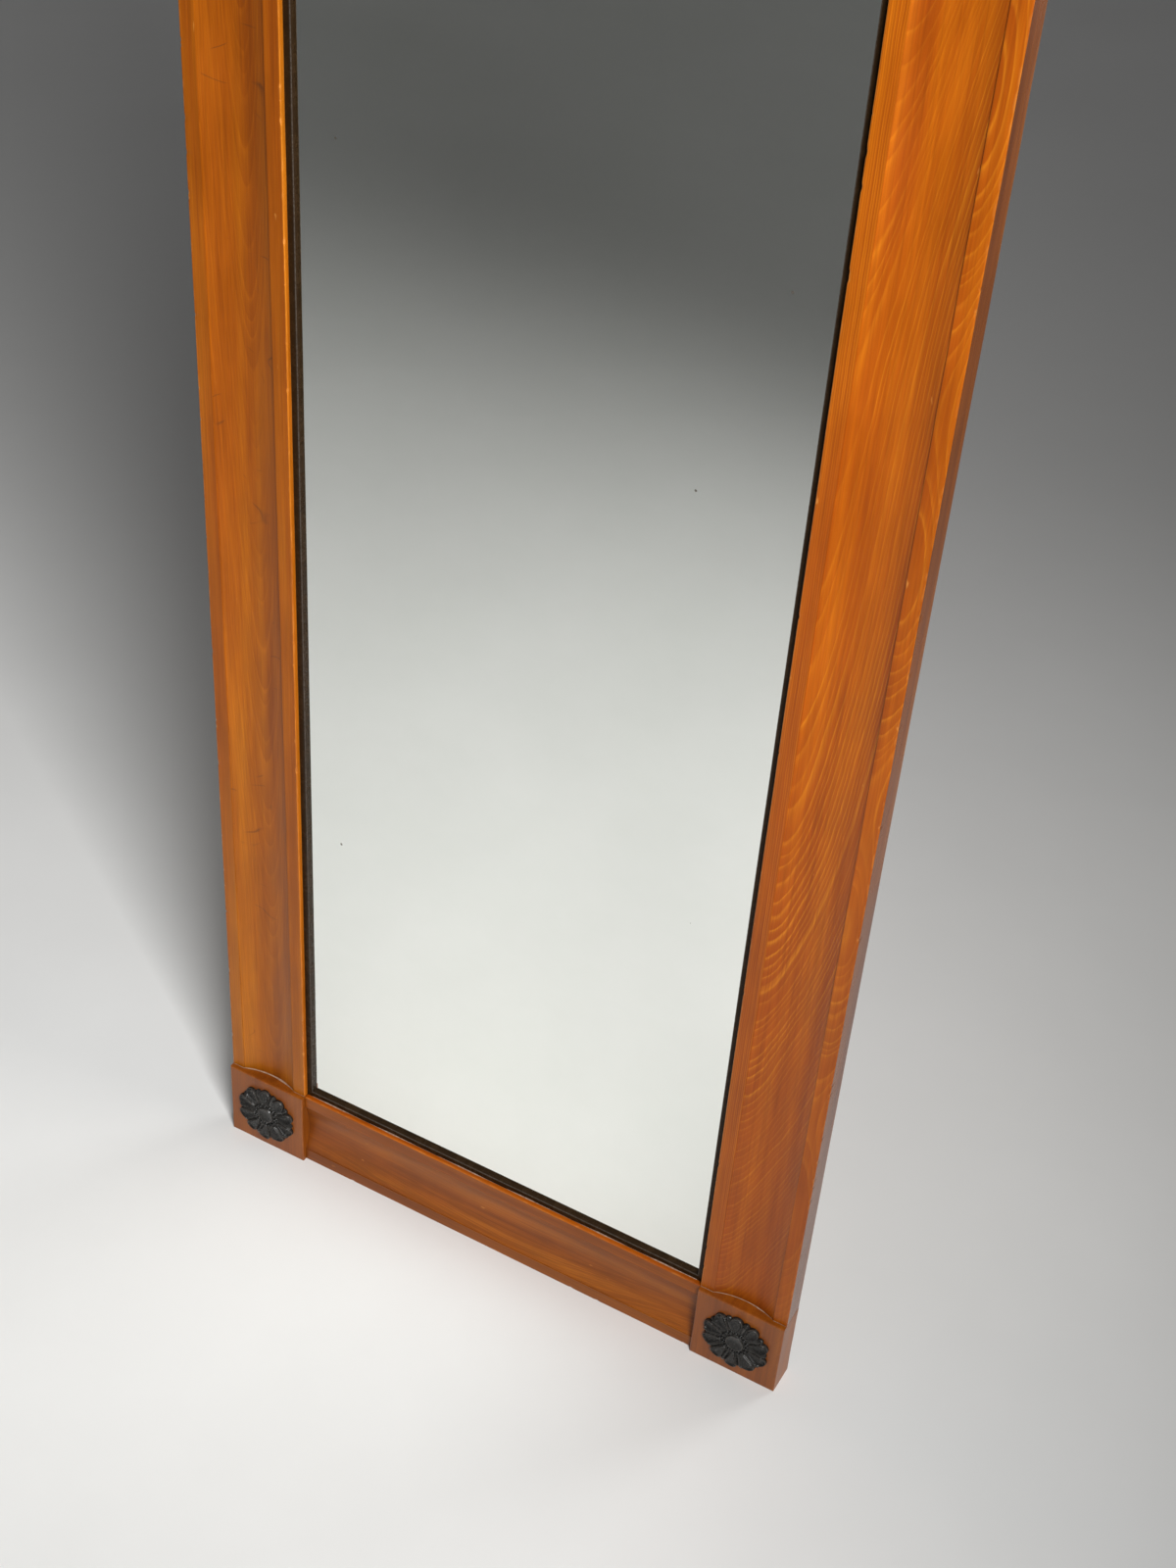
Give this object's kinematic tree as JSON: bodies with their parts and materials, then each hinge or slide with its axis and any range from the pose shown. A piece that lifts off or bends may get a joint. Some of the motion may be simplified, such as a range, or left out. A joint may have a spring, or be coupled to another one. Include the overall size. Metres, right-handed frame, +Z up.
{
  "type": "full-length mirror",
  "caption": "Full-length mirror in a coved wood frame, with square corner blocks, carved black rosettes, a black inner slip, a boarded back and swinging hanging rings.",
  "frame": {"origin": "centre of the underside: half way along the frame's width, half way through its whole depth with rosettes and hangers, at the floor", "axes": "+Z up along the stiles, +X to the viewer's right, -Y out of the mirror towards the viewer"},
  "size_m": [0.62, 0.0438, 1.64],
  "materials": {
    "frame_wood": "waxed honey-brown hardwood, satin",
    "block_wood": "waxed red-brown hardwood, satin",
    "ebonised_wood": "black stained and polished, semi-gloss",
    "mirror": "silvered plate glass",
    "pine": "bare aged pine",
    "dowel_wood": "bare beech",
    "steel": "plain steel, slightly dulled"
  },
  "bodies": {
    "frame": {"left_stile": "frame_wood", "right_stile": "frame_wood", "bottom_rail": "frame_wood", "top_rail": "frame_wood", "corner_block_bottom_left": "block_wood", "corner_block_bottom_right": "block_wood", "corner_block_top_left": "block_wood", "corner_block_top_right": "block_wood", "stile_dowels": "dowel_wood", "rail_dowels": "dowel_wood", "slip_bottom": "ebonised_wood", "slip_top": "ebonised_wood", "slip_left": "ebonised_wood", "slip_right": "ebonised_wood", "mirror_glass": "mirror", "glass_wedges": "pine", "backboard_left": "pine", "backboard_middle": "pine", "backboard_right": "pine", "backboard_screws": "steel", "rosette_bottom_left": "ebonised_wood", "rosette_bottom_right": "ebonised_wood", "rosette_top_left": "ebonised_wood", "rosette_top_right": "ebonised_wood", "hanger_strap_left": "steel", "hanger_strap_right": "steel", "hanger_screws": "steel"},
    "left_ring": {"hanger_ring_left": "steel"},
    "right_ring": {"hanger_ring_right": "steel"}
  },
  "joints": [
    {"name": "left_ring_swing", "type": "hinge", "parent": "frame", "child": "left_ring", "pos_m": [-0.277, 0.01818, 1.31], "axis": [1, 0, 0], "range_deg": [0, 176]},
    {"name": "right_ring_swing", "type": "hinge", "parent": "frame", "child": "right_ring", "pos_m": [0.277, 0.01818, 1.31], "axis": [1, 0, 0], "range_deg": [0, 176]}
  ]
}
